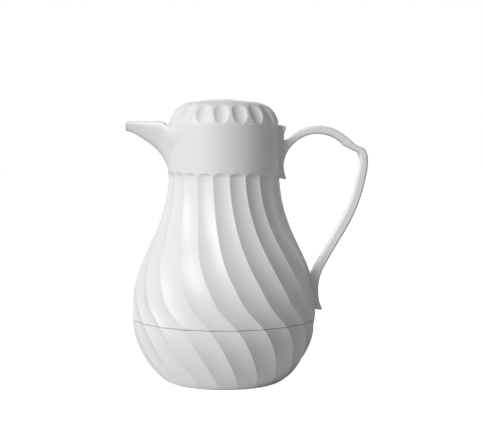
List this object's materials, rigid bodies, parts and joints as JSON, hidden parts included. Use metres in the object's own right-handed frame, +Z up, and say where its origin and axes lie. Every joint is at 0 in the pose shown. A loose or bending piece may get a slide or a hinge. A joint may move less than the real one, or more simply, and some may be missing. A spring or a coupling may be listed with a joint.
{
  "type": "thermal jug",
  "caption": "Foam-insulated thermal serving jug with twisted flutes, an open pouring spout, a strap handle and a scooped twist-to-pour lid that lifts off.",
  "frame": {"origin": "middle of the base ring's flat underside, on the jug's axis", "axes": "+Z up along the jug's axis, +X towards the handle, -X towards the spout"},
  "size_m": [0.2014, 0.1532, 0.2349],
  "materials": {
    "shell_plastic": "gloss",
    "handle_plastic": "gloss",
    "lid_plastic": "gloss",
    "liner_plastic": "satin",
    "foam": "matte",
    "rubber": "matte",
    "screw_steel": "satin"
  },
  "bodies": {
    "jug": {"upper_shell": "shell_plastic", "base_cup": "shell_plastic", "body_foam": "foam", "inner_liner": "liner_plastic", "liner_gasket": "rubber", "pour_collar": "liner_plastic", "fill_plug": "shell_plastic", "handle": "handle_plastic", "handle_screws": "screw_steel", "handle_washers": "screw_steel"},
    "seal": {"stopper_seal": "rubber"},
    "lid": {"lid_cover": "lid_plastic", "lid_foam": "foam", "stopper": "liner_plastic", "rim_gasket": "rubber"}
  },
  "joints": [
    {"name": "lid_lift", "type": "slide", "parent": "jug", "child": "seal", "axis": [0, 0, 1], "range_m": [0, 0.06]},
    {"name": "lid_turn", "type": "hinge", "parent": "seal", "child": "lid", "pos_m": [0, 0, 0.2132], "axis": [0, 0, 1], "range_deg": [0, 90]}
  ]
}
